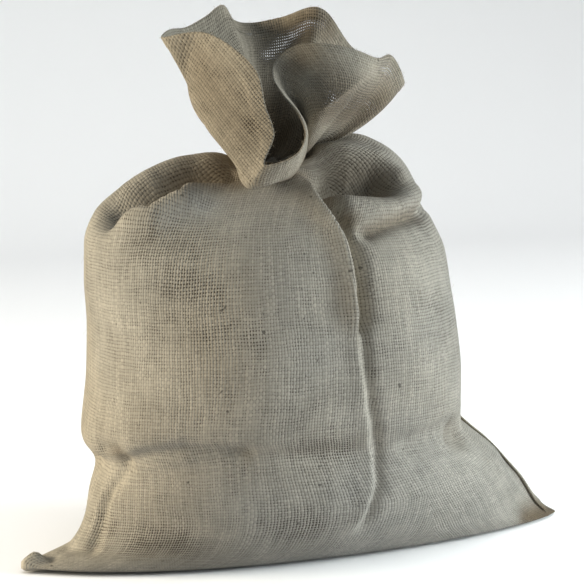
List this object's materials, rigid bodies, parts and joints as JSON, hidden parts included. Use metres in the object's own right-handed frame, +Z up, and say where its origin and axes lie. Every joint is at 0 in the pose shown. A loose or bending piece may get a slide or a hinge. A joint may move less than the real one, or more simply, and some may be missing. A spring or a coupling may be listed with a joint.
{
  "type": "burlap sack",
  "caption": "Filled burlap sack standing on a flattened base, with drooping corner ears, a sewn side edge and a gathered open mouth.",
  "frame": {"origin": "on the floor under the middle of the sack's outline", "axes": "+Z up through the mouth, -Y out of the front where the mouth's lip hangs, +X towards the sewn side edge"},
  "size_m": [0.4276, 0.2257, 0.4007],
  "materials": {
    "burlap": "coarse open plain weave, unbleached",
    "overlocked_edge": "doubled weave under overlock stitches"
  },
  "bodies": {
    "root": {"sack": "burlap", "side_seam": "overlocked_edge"}
  },
  "joints": []
}
